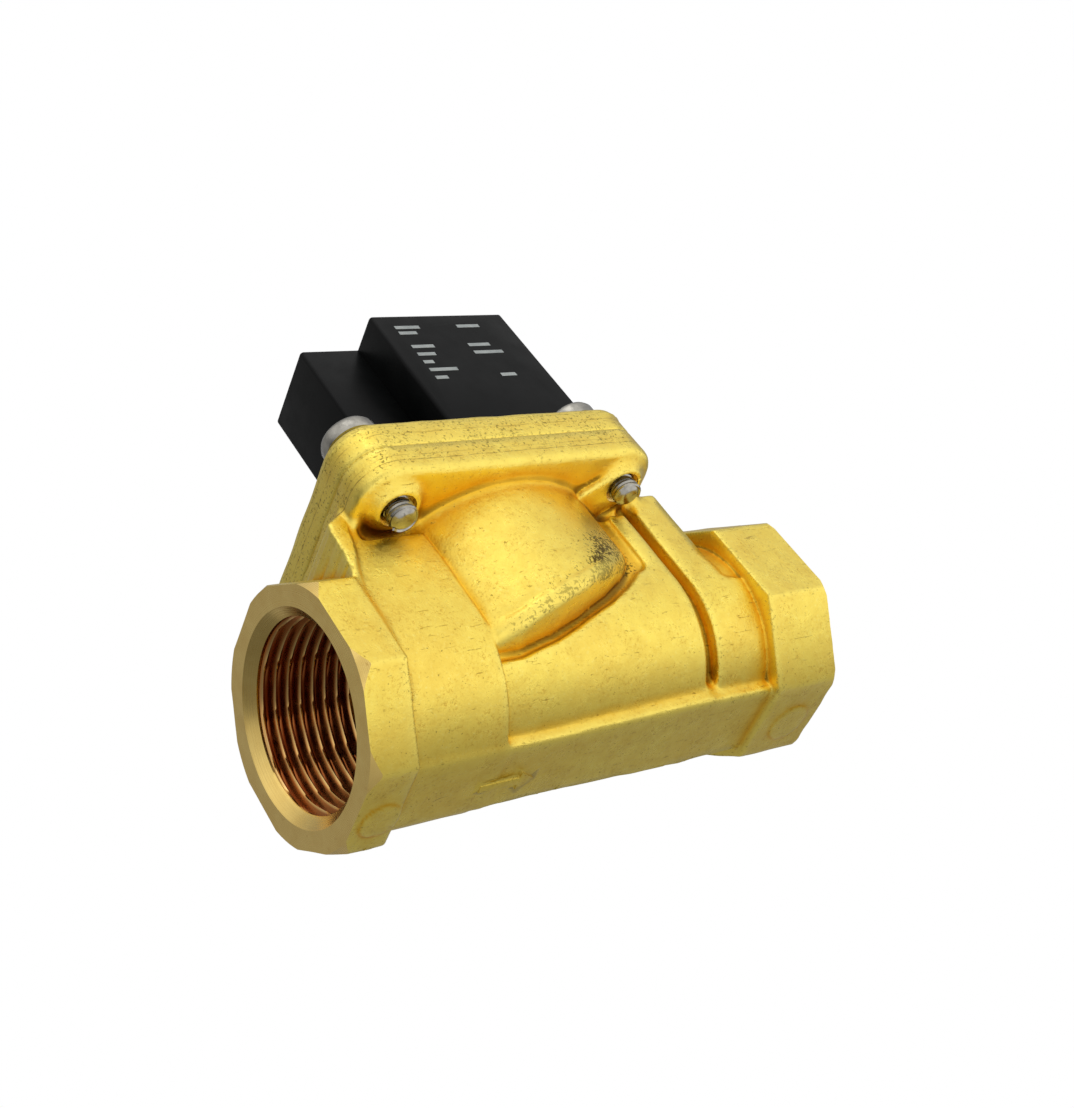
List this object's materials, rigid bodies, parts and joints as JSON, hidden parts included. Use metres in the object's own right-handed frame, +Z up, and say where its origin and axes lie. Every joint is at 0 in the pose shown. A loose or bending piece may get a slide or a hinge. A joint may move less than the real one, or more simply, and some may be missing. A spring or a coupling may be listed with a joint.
{
  "type": "pilot operated solenoid valve",
  "caption": "Two way brass solenoid valve with threaded ports in line, a square bolted cover, a diaphragm worked by a pilot plunger, and an offset moulded coil.",
  "frame": {"origin": "centre of the inlet port mouth, on the pipe axis", "axes": "+X along the flow, out of the outlet port; +Z up from the pipe axis through the cover and the coil; +Y across the valve"},
  "size_m": [0.0767, 0.048, 0.0835],
  "materials": {
    "forged_brass": "forged and shot cleaned, lightly stained",
    "turned_brass": "turned, bare",
    "zinc_steel": "zinc plated, satin",
    "stainless": "turned and ground",
    "spring_wire": "drawn wire",
    "yoke_steel": "punched strip, passivated",
    "rubber_black": "moulded, matt",
    "coil_plastic": "moulded, fine sparked texture",
    "bobbin_plastic": "moulded, plain",
    "copper_wire": "enamelled copper",
    "copper": "bare copper",
    "tinned_brass": "tinned, smooth"
  },
  "bodies": {
    "valve": {"valve_body": "forged_brass", "cover": "forged_brass", "pilot_plug": "stainless", "cover_screws": "zinc_steel", "screw_washers": "zinc_steel", "diaphragm": "rubber_black", "diaphragm_spring": "spring_wire", "pilot_seat": "stainless", "tube_seal": "rubber_black", "armature_tube": "stainless", "fixed_core": "stainless", "shading_ring": "copper", "plunger_spring": "spring_wire", "coil_housing": "coil_plastic", "yoke": "yoke_steel", "bobbin": "bobbin_plastic", "winding": "copper_wire", "line_blades": "tinned_brass", "earth_blade": "tinned_brass", "connector_insert": "turned_brass", "coil_seals": "rubber_black", "coil_washer": "zinc_steel", "coil_nut": "zinc_steel"},
    "main_stack": {"support_plate": "stainless", "seat_disc": "rubber_black", "seat_washer": "turned_brass", "stack_rivet": "stainless"},
    "pilot_plunger": {"plunger": "stainless", "plunger_seal": "rubber_black"}
  },
  "joints": [
    {"name": "diaphragm_lift", "type": "slide", "parent": "valve", "child": "main_stack", "axis": [0, 0, 1], "range_m": [0, 0.0028], "stiffness_N_per_m": 300, "springref_m": -0.003, "deforming": ["diaphragm", "diaphragm_spring"]},
    {"name": "plunger_lift", "type": "slide", "parent": "valve", "child": "pilot_plunger", "axis": [0, 0, 1], "range_m": [0, 0.0012], "stiffness_N_per_m": 200, "springref_m": -0.005, "deforming": ["plunger_spring"]}
  ]
}
